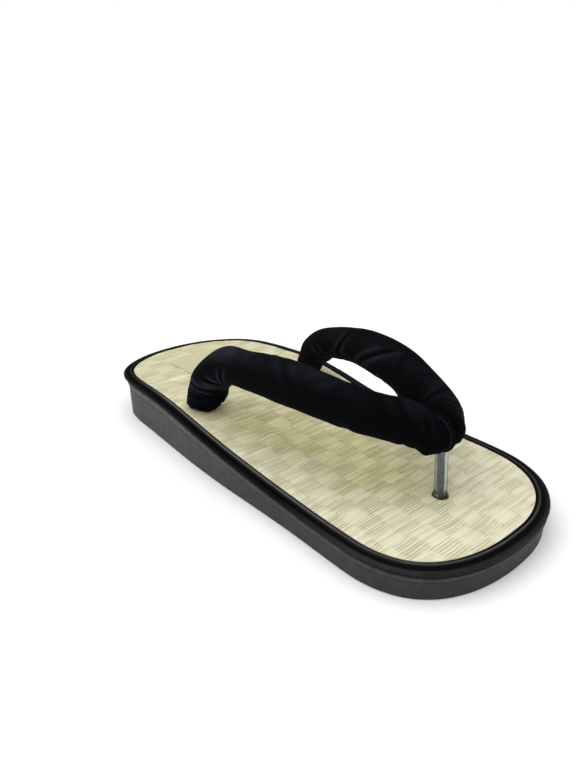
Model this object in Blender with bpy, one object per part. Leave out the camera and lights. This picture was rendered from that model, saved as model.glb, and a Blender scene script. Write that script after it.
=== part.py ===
"""Zori sandal: a wedge sole, a rush mat with its edge binding, and a padded V strap
on a clear toe post. Metres, +Z up, heel at +Y, toe at -Y, inner side of the foot at +X.

Distances along the sandal are measured from the back of the heel, and distances out
from the line through the toe post. A depth is measured down from the mat's top.
"""

from collections import namedtuple
import math

import bmesh
import bpy
from mathutils import Vector

# Overall sizes
LENGTH = 0.270
BALL_WIDTH = 0.1194
HEEL_HEIGHT = 0.0256
FOREFOOT_HEIGHT = 0.0139
CLEARANCE = 0.0003

# The wedge's slope runs between these two shares of LENGTH
SLOPE_START = 0.25
SLOPE_END = 0.77

# Round ends of the outline: how far each reaches, and how full its curve is
HEEL_ROUND = 0.052
HEEL_FULLNESS = 2.2
TOE_ROUND = 0.046
TOE_FULLNESS = 2.25

# Mat, binding and label
MAT_THICKNESS = 0.0028
MAT_EDGE_ROUND = 0.0003
BINDING_WIDTH = 0.0060
BINDING_STANDS_PROUD = 0.0004
LABEL_START = 0.028
LABEL_LENGTH = 0.033
LABEL_WIDTH = 0.042
LABEL_THICKNESS = 0.0003

# Side wall of the sole
LIP_HEIGHT = 0.0014
WALL_INSET = 0.0011
BOTTOM_BEVEL = 0.0003
# How far the wall leans in for each metre of its height
WALL_DRAFT = 0.065

# Strap: where its tails go down, how high and how thick its two tubes are
ANCHOR_ALONG = 0.0958
ANCHOR_OUT = 0.0410
STRAP_RISE = 0.0381
STRAP_RADIUS = 0.0098
# How far the joined front is rounded off, as a share of the tube's radius there
STRAP_END_ROUND = 0.75
TAIL_RADIUS = 0.0042
TAIL_DEPTH = 0.0120

# Toe post, and how far it leans back for each metre of its height over the mat
POST_ALONG = 0.2282
POST_LEAN = 0.085
POST_RADIUS = 0.0030
POST_BORE_RADIUS = 0.0019
POST_FLARE_RADIUS = 0.0034
POST_FLARE_HEIGHT = 0.0022
POST_HOLE_RADIUS = 0.0038
POST_CORD_RADIUS = 0.0015
POST_INTO_STRAP = 0.0060
SOCKET_FLOOR = 0.0040

# Fineness of the faceting
OUTLINE_STEPS = 50
STRAP_SIDES = 20
STRAP_STATIONS = 22
CAP_RINGS = 4
POST_SIDES = 24

# Shares of LENGTH, and of half of BALL_WIDTH, before the ends are rounded
OutlineRow = namedtuple("OutlineRow", "along lateral medial")
SIDE_OUTLINE = (
    OutlineRow(0.00, 1.020, 0.900),
    OutlineRow(0.06, 1.013, 0.972),
    OutlineRow(0.10, 0.977, 0.975),
    OutlineRow(0.15, 0.940, 0.970),
    OutlineRow(0.20, 0.935, 0.990),
    OutlineRow(0.30, 0.960, 1.028),
    OutlineRow(0.40, 0.985, 1.005),
    OutlineRow(0.50, 0.995, 0.965),
    OutlineRow(0.60, 0.988, 0.977),
    OutlineRow(0.70, 0.983, 1.015),
    OutlineRow(0.80, 0.993, 1.007),
    OutlineRow(0.90, 1.003, 0.958),
    OutlineRow(1.00, 1.064, 0.920),
)

# Binding section, from its foot beside the mat over the bead, the glossy slope and
# the rounded rim to its foot over the sole: inset as a share of BINDING_WIDTH, depth
# as a share of MAT_THICKNESS, and height over the mat as a share of
# BINDING_STANDS_PROUD
BindingRow = namedtuple("BindingRow", "inset depth proud")
BINDING_SECTION = (
    BindingRow(1.00, 1.00, 0.00),
    BindingRow(1.00, 0.02, 0.00),
    BindingRow(0.95, 0.00, 0.85),
    BindingRow(0.84, 0.00, 1.00),
    BindingRow(0.76, 0.02, 0.00),
    BindingRow(0.68, 0.24, 0.00),
    BindingRow(0.48, 0.26, 0.00),
    BindingRow(0.30, 0.12, 0.00),
    BindingRow(0.15, 0.14, 0.00),
    BindingRow(0.04, 0.36, 0.00),
    BindingRow(0.00, 0.62, 0.00),
    BindingRow(0.05, 0.88, 0.00),
    BindingRow(0.18, 1.00, 0.00),
)

# Lip of the sole, from the wall up to the deck under the mat: inset as a share of
# WALL_INSET, and depth under the deck as a share of LIP_HEIGHT
LipRow = namedtuple("LipRow", "inset depth")
LIP_SECTION = (
    LipRow(1.00, 1.25),
    LipRow(1.00, 1.00),
    LipRow(0.60, 0.80),
    LipRow(0.45, 0.50),
    LipRow(0.65, 0.12),
    LipRow(1.00, 0.00),
)

# Strap centreline, by share of its run: share of the way from the anchor to the toe
# post, distance out of each tube as a share of ANCHOR_OUT, height of each tube over
# the mat as a share of STRAP_RISE, and both tubes' radius as a share of STRAP_RADIUS
StrapRow = namedtuple("StrapRow", "run along lateral medial lateral_up medial_up radius")
STRAP_RUN = (
    StrapRow(0.00, 0.000, 0.995, 0.980, 0.080, 0.080, 0.85),
    StrapRow(0.07, 0.030, 0.965, 0.970, 0.305, 0.300, 0.89),
    StrapRow(0.14, 0.064, 0.945, 0.950, 0.480, 0.470, 0.93),
    StrapRow(0.24, 0.155, 0.905, 0.900, 0.795, 0.695, 0.92),
    StrapRow(0.38, 0.315, 0.865, 0.860, 0.945, 0.880, 0.93),
    StrapRow(0.54, 0.502, 0.750, 0.745, 1.010, 0.985, 1.00),
    StrapRow(0.70, 0.708, 0.578, 0.578, 0.985, 0.980, 1.00),
    StrapRow(0.85, 0.888, 0.315, 0.320, 0.905, 0.880, 0.96),
    StrapRow(1.00, 0.978, 0.075, 0.035, 0.825, 0.820, 0.90),
)

# Bulb of the strap just over the mat: share of the height at which its run starts,
# and radius as a share of STRAP_RADIUS
BulbRow = namedtuple("BulbRow", "height radius")
BULB = (
    BulbRow(0.00, 0.50),
    BulbRow(0.12, 0.66),
    BulbRow(0.45, 0.79),
)

# Looks of the plain model: colour, roughness, metallic
FINISHES = {
    "sole": ((0.075, 0.075, 0.078, 1.0), 0.72, 0.0),
    "tatami_insole": ((0.62, 0.60, 0.40, 1.0), 0.70, 0.0),
    "edge_binding": ((0.012, 0.012, 0.013, 1.0), 0.30, 0.0),
    "strap_upper": ((0.006, 0.007, 0.010, 1.0), 0.85, 0.0),
    "toe_post_tube": ((0.30, 0.34, 0.38, 1.0), 0.12, 0.0),
    "toe_post_cord": ((0.16, 0.18, 0.21, 1.0), 0.60, 0.0),
    "heel_label": ((0.72, 0.69, 0.47, 1.0), 0.60, 0.0),
}


def clear_scene():
    """Remove what the scene holds, so the model starts from nothing."""
    for old in list(bpy.data.objects):
        bpy.data.objects.remove(old, do_unlink=True)


def smooth(rows, column, place):
    """Read one column at a place of the first column, on a curve through the rows."""
    places = [row[0] for row in rows]
    values = [getattr(row, column) for row in rows]
    place = min(max(place, places[0]), places[-1])
    last = len(rows) - 1
    before = max(i for i in range(last) if places[i] <= place)

    def slope(i):
        low, high = max(i - 1, 0), min(i + 1, last)
        return (values[high] - values[low]) / (places[high] - places[low])

    span = places[before + 1] - places[before]
    t = (place - places[before]) / span
    rise = t * t * (3 - 2 * t)
    leave = t * (1 - t) ** 2 * span * slope(before)
    arrive = t * t * (t - 1) * span * slope(before + 1)
    return values[before] * (1 - rise) + values[before + 1] * rise + leave + arrive


def mat_top(along):
    """Height of the mat's top over the floor: heel, smooth slope, forefoot."""
    t = (along / LENGTH - SLOPE_START) / (SLOPE_END - SLOPE_START)
    t = min(max(t, 0.0), 1.0)
    return HEEL_HEIGHT + (FOREFOOT_HEIGHT - HEEL_HEIGHT) * t * t * (3 - 2 * t)


def round_end(share, fullness):
    """Width left at a share of the way into a round end."""
    if share >= 1:
        return 1.0
    return (1 - (1 - max(share, 0.0)) ** fullness) ** (1 / fullness)


def half_width(along, side):
    """Distance out of the outline on one side."""
    width = smooth(SIDE_OUTLINE, side, along / LENGTH) * BALL_WIDTH / 2
    heel = round_end(along / HEEL_ROUND, HEEL_FULLNESS)
    toe = round_end((LENGTH - along) / TOE_ROUND, TOE_FULLNESS)
    return width * heel * toe


def outline_stations():
    """Distances along the sandal, closer together towards its two ends."""
    turns = [math.pi * k / OUTLINE_STEPS for k in range(OUTLINE_STEPS + 1)]
    return [LENGTH * (1 - math.cos(turn)) / 2 for turn in turns]


def centre_shift():
    """How far the toe post's line lies off the middle of the whole width."""
    stations = outline_stations()
    lateral = max(half_width(along, "lateral") for along in stations)
    medial = max(half_width(along, "medial") for along in stations)
    return (medial - lateral) / 2


CENTRE_SHIFT = centre_shift()


def spot(along, out, height):
    """Turn a distance along, a distance out and a height into a point."""
    return Vector((out - CENTRE_SHIFT, LENGTH / 2 - along, height))


def along_of(point):
    """Distance from the heel of a point of the model."""
    return LENGTH / 2 - point[1]


def outline_loop(inset_at):
    """The outline moved inwards: up the lateral side, back down the medial.

    The inset is a function of the distance along.
    """
    stations = outline_stations()
    lateral = [spot(along, -half_width(along, "lateral"), 0) for along in stations]
    medial = [spot(along, half_width(along, "medial"), 0) for along in stations]
    loop = lateral + medial[-2:0:-1]
    moved = []
    for i, point in enumerate(loop):
        tangent = (loop[(i + 1) % len(loop)] - loop[i - 1]).normalized()
        inwards = Vector((-tangent.y, tangent.x, 0))
        moved.append(point + inwards * inset_at(along_of(point)))
    return moved


def loop_under_mat(inset, depth):
    """An inset loop that follows the mat's top at a depth under it."""
    loop = outline_loop(lambda along: inset)
    return [Vector((p.x, p.y, mat_top(along_of(p)) - depth)) for p in loop]


def wall_foot_loop(extra_inset, height):
    """The foot of the drafted wall: it leans in more where the wall is higher."""
    def inset_at(along):
        return WALL_INSET + WALL_DRAFT * mat_top(along) + extra_inset

    return [Vector((p.x, p.y, height)) for p in outline_loop(inset_at)]


def bridge(mesh, lower, upper):
    """Join two rings of the same count with faces."""
    for i in range(len(lower)):
        j = (i + 1) % len(lower)
        mesh.faces.new((lower[i], lower[j], upper[j], upper[i]))


def strip_cap(mesh, ring):
    """Close an outline ring with strips from its lateral to its medial side."""
    half = len(ring) // 2
    mesh.faces.new((ring[0], ring[1], ring[-1]))
    for i in range(1, half - 1):
        mesh.faces.new((ring[i], ring[i + 1], ring[-i - 1], ring[-i]))
    mesh.faces.new((ring[half - 1], ring[half], ring[half + 1]))


def add_rings(mesh, loops):
    """Add rings of points to a mesh, each joined to the one before."""
    rings = [[mesh.verts.new(point) for point in loop] for loop in loops]
    for lower, upper in zip(rings, rings[1:]):
        bridge(mesh, lower, upper)
    return rings


def finish_for(name):
    """The plain material of one piece."""
    colour, roughness, metallic = FINISHES[name]
    material = bpy.data.materials.new(name + "_finish")
    material.use_nodes = True
    shader = material.node_tree.nodes["Principled BSDF"]
    shader.inputs["Base Color"].default_value = colour
    shader.inputs["Roughness"].default_value = roughness
    shader.inputs["Metallic"].default_value = metallic
    return material


def make_object(name, mesh):
    """Turn a finished bmesh into an object with its faces pointing out."""
    bmesh.ops.recalc_face_normals(mesh, faces=mesh.faces)
    data = bpy.data.meshes.new(name)
    mesh.to_mesh(data)
    mesh.free()
    thing = bpy.data.objects.new(name, data)
    bpy.context.collection.objects.link(thing)
    return thing


def make_piece(name, mesh):
    """A named piece of the sandal: smooth shaded, with its own material."""
    piece = make_object(name, mesh)
    piece.data.shade_smooth()
    piece.data.set_sharp_from_angle(angle=math.radians(35))
    piece.data.materials.append(finish_for(name))
    return piece


def make_cutter(name, mesh):
    """A guide that cuts other pieces and isn't part of the sandal."""
    cutter = make_object(name, mesh)
    cutter.hide_render = True
    cutter.display_type = "WIRE"
    return cutter


def use_boolean(piece, operation, other):
    """Let one object cut, or join, another."""
    step = piece.modifiers.new(operation.title() + " " + other.name, "BOOLEAN")
    step.operation = operation
    step.solver = "EXACT"
    step.object = other


def circle(centre, side, up, radius, count):
    """Points round a centre in the plane of two directions."""
    points = []
    for i in range(count):
        turn = 2 * math.pi * i / count
        points.append(centre + (side * math.cos(turn) + up * math.sin(turn)) * radius)
    return points


def upright_ring(along, out, height, radius, count):
    """A level circle round an upright axis."""
    centre = spot(along, out, height)
    return circle(centre, Vector((1, 0, 0)), Vector((0, 1, 0)), radius, count)


def upright_mesh(along_at, out, rows, count):
    """A turned solid, from rows of height and radius, on an axis that may lean."""
    mesh = bmesh.new()
    loops = [upright_ring(along_at(height), out, height, radius, count)
             for height, radius in rows]
    rings = add_rings(mesh, loops)
    mesh.faces.new(rings[0])
    mesh.faces.new(rings[-1])
    return mesh


def anchor_along(height):
    """Distance along of the strap's tails, the same at every height."""
    return ANCHOR_ALONG


def post_along(height):
    """Distance along of the post's axis at a height over the floor."""
    return POST_ALONG - POST_LEAN * (height - mat_top(POST_ALONG))


def anchors():
    """The two places where the strap's tails go down."""
    first = STRAP_RUN[0]
    yield "lateral", -first.lateral * ANCHOR_OUT
    yield "medial", first.medial * ANCHOR_OUT


def tail_floor():
    """Height of the end of the strap's tails."""
    return mat_top(ANCHOR_ALONG) - MAT_THICKNESS - CLEARANCE - TAIL_DEPTH


def post_out():
    """Where the post stands across the sandal: under the joined strap."""
    last = STRAP_RUN[-1]
    return (last.medial - last.lateral) / 2 * ANCHOR_OUT


def post_top():
    """Height of the top of the post's tube, inside the strap's joined front."""
    last = STRAP_RUN[-1]
    middle = mat_top(POST_ALONG) + last.lateral_up * STRAP_RISE
    return middle - last.radius * STRAP_RADIUS + POST_INTO_STRAP


def make_hole_cutters():
    """Holes for both tails and the post, through the mat and into the sole."""
    above = HEEL_HEIGHT + 2 * MAT_THICKNESS
    cutters = []
    for side, out in anchors():
        rows = ((tail_floor() - CLEARANCE, TAIL_RADIUS + CLEARANCE),
                (above, TAIL_RADIUS + CLEARANCE))
        mesh = upright_mesh(anchor_along, out, rows, STRAP_SIDES)
        cutters.append(make_cutter("tail_hole_" + side, mesh))
    rows = ((SOCKET_FLOOR, POST_HOLE_RADIUS), (above, POST_HOLE_RADIUS))
    mesh = upright_mesh(post_along, post_out(), rows, POST_SIDES)
    cutters.append(make_cutter("post_hole", mesh))
    return cutters


def make_sole(cutters):
    """The wedge: drafted wall, a moulded lip under the binding, a flat underside."""
    deck = MAT_THICKNESS + CLEARANCE
    loops = [wall_foot_loop(BOTTOM_BEVEL, 0.0), wall_foot_loop(0.0, BOTTOM_BEVEL)]
    for row in LIP_SECTION:
        depth = deck + row.depth * LIP_HEIGHT
        loops.append(loop_under_mat(row.inset * WALL_INSET, depth))
    mesh = bmesh.new()
    rings = add_rings(mesh, loops)
    strip_cap(mesh, rings[0])
    strip_cap(mesh, rings[-1])
    sole = make_piece("sole", mesh)
    for cutter in cutters:
        use_boolean(sole, "DIFFERENCE", cutter)
    return sole


def make_mat(cutters):
    """The woven mat: a thin sheet over the sole, inside the binding."""
    inset = BINDING_WIDTH + CLEARANCE
    loops = (
        loop_under_mat(inset, MAT_THICKNESS),
        loop_under_mat(inset, MAT_EDGE_ROUND),
        loop_under_mat(inset + MAT_EDGE_ROUND, 0.0),
    )
    mesh = bmesh.new()
    rings = add_rings(mesh, loops)
    strip_cap(mesh, rings[0])
    strip_cap(mesh, rings[-1])
    mat = make_piece("tatami_insole", mesh)
    for cutter in cutters:
        use_boolean(mat, "DIFFERENCE", cutter)
    return mat


def make_binding():
    """The binding: its section carried once round the outline."""
    mesh = bmesh.new()
    loops = []
    for row in BINDING_SECTION:
        depth = row.depth * MAT_THICKNESS - row.proud * BINDING_STANDS_PROUD
        loops.append(loop_under_mat(row.inset * BINDING_WIDTH, depth))
    rings = add_rings(mesh, loops)
    bridge(mesh, rings[-1], rings[0])
    return make_piece("edge_binding", mesh)


def strap_point(run, side):
    """Centre and radius of one strap tube at a share of its run."""
    sign = 1 if side == "medial" else -1
    share = smooth(STRAP_RUN, "along", run)
    along = ANCHOR_ALONG + share * (POST_ALONG - ANCHOR_ALONG)
    out = sign * smooth(STRAP_RUN, side, run) * ANCHOR_OUT
    height = mat_top(along) + smooth(STRAP_RUN, side + "_up", run) * STRAP_RISE
    return spot(along, out, height), smooth(STRAP_RUN, "radius", run) * STRAP_RADIUS


def strap_frame(tangent):
    """Two directions across the strap, the same way round at every station."""
    across = Vector((1, 0, 0))
    side = (across - tangent * across.dot(tangent)).normalized()
    return side, tangent.cross(side)


def tube_rings(side):
    """Rings of one strap tube from its first to its last station."""
    rows = [strap_point(i / (STRAP_STATIONS - 1), side) for i in range(STRAP_STATIONS)]
    rings = []
    for i, (centre, radius) in enumerate(rows):
        after = rows[min(i + 1, len(rows) - 1)][0]
        before = rows[max(i - 1, 0)][0]
        tangent = (after - before).normalized() if i else Vector((0, 0, 1))
        rings.append(circle(centre, *strap_frame(tangent), radius, STRAP_SIDES))
    return rings, rows[-1], tangent


def end_rings(end, tangent):
    """A round end over the last station of a tube."""
    centre, radius = end
    reach = radius * STRAP_END_ROUND
    rings = []
    for i in range(1, CAP_RINGS):
        turn = math.pi / 2 * i / CAP_RINGS
        middle = centre + tangent * reach * math.sin(turn)
        rings.append(circle(middle, *strap_frame(tangent), radius * math.cos(turn), STRAP_SIDES))
    return rings, centre + tangent * reach


def foot_rings(side, out):
    """Tail in the sole, then the bulb that stands just over the mat."""
    over_mat = CLEARANCE + mat_top(ANCHOR_ALONG)
    bulb_height = getattr(STRAP_RUN[0], side + "_up") * STRAP_RISE - CLEARANCE
    rings = [
        upright_ring(ANCHOR_ALONG, out, tail_floor(), TAIL_RADIUS, STRAP_SIDES),
        upright_ring(ANCHOR_ALONG, out, over_mat, TAIL_RADIUS, STRAP_SIDES),
    ]
    for row in BULB:
        height = CLEARANCE + row.height * bulb_height
        radius = row.radius * STRAP_RADIUS
        level = upright_ring(ANCHOR_ALONG, out, 0, radius, STRAP_SIDES)
        rings.append([Vector((p.x, p.y, mat_top(along_of(p)) + height)) for p in level])
    return rings


def strap_tube_mesh(side, out):
    """One padded tube of the strap, from its tail to the joined front."""
    rings, end, tangent = tube_rings(side)
    caps, tip = end_rings(end, tangent)
    mesh = bmesh.new()
    made = add_rings(mesh, foot_rings(side, out) + rings + caps)
    mesh.faces.new(made[0])
    point = mesh.verts.new(tip)
    for i in range(STRAP_SIDES):
        mesh.faces.new((made[-1][i], made[-1][(i + 1) % STRAP_SIDES], point))
    return mesh


def make_strap():
    """The V strap: two tubes joined at the front, bored from below for the post."""
    meshes = {side: strap_tube_mesh(side, out) for side, out in anchors()}
    strap = make_piece("strap_upper", meshes["medial"])
    bmesh.ops.recalc_face_normals(meshes["lateral"], faces=meshes["lateral"].faces)
    use_boolean(strap, "UNION", make_cutter("lateral_tube", meshes["lateral"]))
    rows = ((mat_top(POST_ALONG), POST_RADIUS + CLEARANCE),
            (post_top() + CLEARANCE, POST_RADIUS + CLEARANCE))
    bore = upright_mesh(post_along, post_out(), rows, POST_SIDES)
    use_boolean(strap, "DIFFERENCE", make_cutter("post_bore", bore))
    return strap


def make_post_tube():
    """The clear tube: hollow, with a flared foot in the mat's hole."""
    mat = mat_top(POST_ALONG)
    rows = (
        (SOCKET_FLOOR + CLEARANCE, POST_FLARE_RADIUS),
        (mat, POST_FLARE_RADIUS),
        (mat + 0.5 * POST_FLARE_HEIGHT, (POST_FLARE_RADIUS + POST_RADIUS) / 2),
        (mat + POST_FLARE_HEIGHT, POST_RADIUS),
        (post_top(), POST_RADIUS),
    )
    mesh = bmesh.new()
    out = post_out()
    outer = [upright_ring(post_along(height), out, height, radius, POST_SIDES)
             for height, radius in rows]
    inner = [upright_ring(post_along(height), out, height, POST_BORE_RADIUS, POST_SIDES)
             for height in (rows[-1][0], rows[0][0])]
    rings = add_rings(mesh, outer + inner)
    bridge(mesh, rings[-1], rings[0])
    return make_piece("toe_post_tube", mesh)


def make_post_cord():
    """The cord inside the clear tube, from the strap down into the sole."""
    rows = ((SOCKET_FLOOR + CLEARANCE, POST_CORD_RADIUS), (post_top(), POST_CORD_RADIUS))
    mesh = upright_mesh(post_along, post_out(), rows, POST_SIDES // 2)
    return make_piece("toe_post_cord", mesh)


def make_label():
    """The bare label on the mat at the heel."""
    low = HEEL_HEIGHT + CLEARANCE
    corners = ((LABEL_START, -LABEL_WIDTH / 2), (LABEL_START, LABEL_WIDTH / 2),
               (LABEL_START + LABEL_LENGTH, LABEL_WIDTH / 2),
               (LABEL_START + LABEL_LENGTH, -LABEL_WIDTH / 2))
    mesh = bmesh.new()
    loops = [[spot(along, out, height) for along, out in corners]
             for height in (low, low + LABEL_THICKNESS)]
    rings = add_rings(mesh, loops)
    mesh.faces.new(rings[0])
    mesh.faces.new(rings[-1])
    return make_piece("heel_label", mesh)


def build():
    """Build every piece of the sandal."""
    clear_scene()
    cutters = make_hole_cutters()
    make_sole(cutters)
    make_mat(cutters)
    make_binding()
    make_strap()
    make_post_tube()
    make_post_cord()
    make_label()


build()
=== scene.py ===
# Zori sandal: the looks of every piece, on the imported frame.
import math

import bpy
import numpy as np
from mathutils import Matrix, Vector


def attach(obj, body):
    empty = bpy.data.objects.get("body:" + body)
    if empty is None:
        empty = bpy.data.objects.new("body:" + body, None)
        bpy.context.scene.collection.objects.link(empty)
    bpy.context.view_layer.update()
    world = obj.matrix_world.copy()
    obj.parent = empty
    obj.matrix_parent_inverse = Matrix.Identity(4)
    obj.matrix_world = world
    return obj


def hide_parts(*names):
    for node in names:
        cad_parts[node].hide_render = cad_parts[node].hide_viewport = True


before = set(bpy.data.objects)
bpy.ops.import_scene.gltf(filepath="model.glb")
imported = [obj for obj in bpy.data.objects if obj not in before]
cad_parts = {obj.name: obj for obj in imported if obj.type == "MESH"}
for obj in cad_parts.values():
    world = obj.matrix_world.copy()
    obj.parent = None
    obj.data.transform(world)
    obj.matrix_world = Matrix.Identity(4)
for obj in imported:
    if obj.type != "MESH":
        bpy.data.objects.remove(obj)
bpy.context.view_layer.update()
print("frame loaded")

# Sizes shared by all pieces, in metres, the same as the frame's.
# "along" runs from the heel, "out" from the toe post's line, depths from the mat's top.
sandal = {
    "length": 0.270,
    "ballWidth": 0.1194,
    "heelHeight": 0.0256,
    "forefootHeight": 0.0139,
    "slopeStart": 0.25,
    "slopeEnd": 0.77,
    "heelRound": 0.052,
    "heelFullness": 2.2,
    "toeRound": 0.046,
    "toeFullness": 2.25,
    "clearance": 0.0003,
    "matThickness": 0.0028,
    "outlineSteps": 260,
    "sharpFrom": 50,
}

# Half widths as shares of half the ball width: place along, lateral, medial
sideOutline = np.array((
    (0.00, 1.020, 0.900),
    (0.06, 1.013, 0.972),
    (0.10, 0.977, 0.975),
    (0.15, 0.940, 0.970),
    (0.20, 0.935, 0.990),
    (0.30, 0.960, 1.028),
    (0.40, 0.985, 1.005),
    (0.50, 0.995, 0.965),
    (0.60, 0.988, 0.977),
    (0.70, 0.983, 1.015),
    (0.80, 0.993, 1.007),
    (0.90, 1.003, 0.958),
    (1.00, 1.064, 0.920),
))
sideColumn = {"lateral": 1, "medial": 2}


def smoothStep(t):
    # eases from 0 to 1
    return t * t * (3 - 2 * t)


def cubic(t, start, end, leave, arrive):
    # a cubic from start to end, with the slopes that it leaves and arrives with
    rise = smoothStep(t)
    return start * (1 - rise) + end * rise + t * (1 - t) ** 2 * leave + t * t * (t - 1) * arrive


def smoothTable(table, column, place):
    # cubic curve through a table's rows: each row's slope is that of the line
    # between its two neighbours
    places, values = table[:, 0], table[:, column]
    place = np.clip(np.asarray(place, float), places[0], places[-1])
    slopes = np.empty_like(values)
    slopes[1:-1] = (values[2:] - values[:-2]) / (places[2:] - places[:-2])
    slopes[0] = (values[1] - values[0]) / (places[1] - places[0])
    slopes[-1] = (values[-1] - values[-2]) / (places[-1] - places[-2])
    row = np.clip(np.searchsorted(places, place, "right") - 1, 0, len(places) - 2)
    span = places[row + 1] - places[row]
    return cubic((place - places[row]) / span, values[row], values[row + 1],
                 span * slopes[row], span * slopes[row + 1])


def matTop(along):
    # level heel, smooth slope, level forefoot
    share = along / sandal["length"] - sandal["slopeStart"]
    share = np.clip(share / (sandal["slopeEnd"] - sandal["slopeStart"]), 0, 1)
    drop = sandal["forefootHeight"] - sandal["heelHeight"]
    return sandal["heelHeight"] + drop * smoothStep(share)


def roundEnd(share, fullness):
    # width left at a share of the way into a round end: a superellipse
    share = np.clip(share, 0, 1)
    return (1 - (1 - share) ** fullness) ** (1 / fullness)


def halfWidth(along, side):
    # table width, closed by a round end at the heel and at the toe
    length = sandal["length"]
    width = smoothTable(sideOutline, sideColumn[side], along / length)
    heel = roundEnd(along / sandal["heelRound"], sandal["heelFullness"])
    toe = roundEnd((length - along) / sandal["toeRound"], sandal["toeFullness"])
    return width * sandal["ballWidth"] / 2 * heel * toe


def frameShift():
    # the toe post's line lies this far off the middle of the whole width
    along = np.linspace(0, sandal["length"], 2001)
    return (halfWidth(along, "medial").max() - halfWidth(along, "lateral").max()) / 2


shiftOut = frameShift()


def spot(along, out, height):
    # distances along and out, and a height, become points
    along, out, height = np.broadcast_arrays(along, out, height)
    return np.stack((out - shiftOut, sandal["length"] / 2 - along, height), -1)


def alongOf(points):
    return sandal["length"] / 2 - points[..., 1]


def unit(vectors):
    return vectors / np.linalg.norm(vectors, axis=1, keepdims=True)


def outlineRing():
    # up the lateral side from the heel and back down the medial, with the points
    # closer together at both ends, and the inward normal of each
    steps = sandal["outlineSteps"]
    along = sandal["length"] * (1 - np.cos(np.pi * np.arange(steps + 1) / steps)) / 2
    lateral = spot(along, -halfWidth(along, "lateral"), 0)
    medial = spot(along, halfWidth(along, "medial"), 0)
    ring = np.concatenate((lateral, medial[-2:0:-1]))
    tangent = unit(np.roll(ring, -1, 0) - np.roll(ring, 1, 0))
    inward = np.stack((-tangent[:, 1], tangent[:, 0], np.zeros(len(ring))), -1)
    return ring, inward


outline, outlineInward = outlineRing()
stepLengths = np.linalg.norm(np.roll(outline, -1, 0) - outline, axis=1)
outlineArc = np.concatenate(([0], np.cumsum(stepLengths)))


def underMat(inset, depth):
    # an inset outline that follows the mat's top at a depth under it
    ring = outline + outlineInward * np.reshape(inset, (-1, 1))
    ring[:, 2] = matTop(alongOf(ring)) - depth
    return ring


def ringNoise(seed, waves, strength):
    # slow waviness round the outline: a few sine waves of random phase
    rng = np.random.default_rng(seed)
    turn = outlineArc[:-1] / outlineArc[-1] * 2 * np.pi
    total = np.zeros(len(outline))
    for count in waves:
        total += np.sin(turn * count + rng.uniform(0, 2 * np.pi)) / len(waves)
    return total * strength


# Mesh helpers

def gridFaces(rows, columns, closeRows=False, closeColumns=False):
    # quads of a grid of points, whose rows or columns may close on themselves
    i = np.arange(rows if closeRows else rows - 1)
    j = np.arange(columns if closeColumns else columns - 1)
    i, j = np.meshgrid(i, j, indexing="ij")
    nextRow, nextColumn = (i + 1) % rows, (j + 1) % columns
    corners = (i * columns + j, i * columns + nextColumn,
               nextRow * columns + nextColumn, nextRow * columns + j)
    return np.stack(corners, -1).reshape(-1, 4)


def gridMap(first, second):
    # the UV of each corner of an open or closed grid, from corner values that
    # don't wrap: rows of first by columns of second
    a, b = np.meshgrid(first, second, indexing="ij")
    low, right = (a[:-1, :-1], b[:-1, :-1]), (a[:-1, 1:], b[:-1, 1:])
    both, up = (a[1:, 1:], b[1:, 1:]), (a[1:, :-1], b[1:, :-1])
    corners = [np.stack(pair, -1) for pair in (low, right, both, up)]
    return np.stack(corners, 2).reshape(-1, 2)


def stripFaces(start, count):
    # closes an outline ring with strips from its lateral to its medial side
    half = count // 2
    i = np.arange(1, half - 1)
    quads = np.stack((i, i + 1, count - i - 1, count - i), -1) + start
    ends = np.array(((0, 1, count - 1), (half - 1, half, half + 1))) + start
    return quads.tolist() + ends.tolist()


def capFaces(rows, columns):
    # one face over the first ring of a grid and one over the last
    return [list(range(columns))[::-1], list(range((rows - 1) * columns, rows * columns))]


def circleOf(sides):
    # the angles of a circle's points, and the points of the unit circle
    turn = np.arange(sides) / sides * 2 * np.pi
    return turn, np.stack((np.cos(turn), np.sin(turn), np.zeros(sides)), -1)


def squareTo(tangent):
    # two directions square to a path: one across the sandal, and one upward
    tangent = unit(tangent)
    across = unit(np.array((1.0, 0, 0)) - tangent * tangent[:, :1])
    return across, np.cross(tangent, across)


def makeMesh(name, points, faces, material, mapping=None, values=None):
    # a smooth object from points and faces that point out, with its UVs and the
    # values of its points where they are given
    mesh = bpy.data.meshes.new(name)
    mesh.from_pydata(np.asarray(points).reshape(-1, 3).tolist(), [], faces)
    if mapping is not None:
        layer = mesh.uv_layers.new(name="surface")
        full = np.zeros((len(mesh.loops), 2))
        full[:len(mapping)] = mapping
        layer.data.foreach_set("uv", full.astype(np.float32).ravel())
    for key, numbers in (values or {}).items():
        stored = mesh.attributes.new(key, "FLOAT", "POINT")
        stored.data.foreach_set("value", np.asarray(numbers, np.float32).ravel())
    mesh.shade_smooth()
    mesh.materials.append(material)
    piece = bpy.data.objects.new(name, mesh)
    bpy.context.collection.objects.link(piece)
    return piece


def settle(piece, slotName, *nodes):
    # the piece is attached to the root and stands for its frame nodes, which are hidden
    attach(piece, "root")
    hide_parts(*nodes)
    return piece


def cutRound(piece, holes, sides=64):
    # drills upright or leaning round holes: rows of low point, high point, radius
    circle = circleOf(sides)[1]
    for number, (low, high, radius) in enumerate(holes):
        points = np.concatenate((low + circle * radius, high + circle * radius))
        faces = gridFaces(2, sides, closeColumns=True).tolist() + capFaces(2, sides)
        cutter = makeMesh(piece.name + "Cutter" + str(number), points, faces,
                          piece.data.materials[0])
        step = piece.modifiers.new("Hole" + str(number), "BOOLEAN")
        step.operation = "DIFFERENCE"
        step.solver = "EXACT"
        step.object = cutter
        applyModifiers(piece)
        bpy.data.objects.remove(cutter, do_unlink=True)


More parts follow.
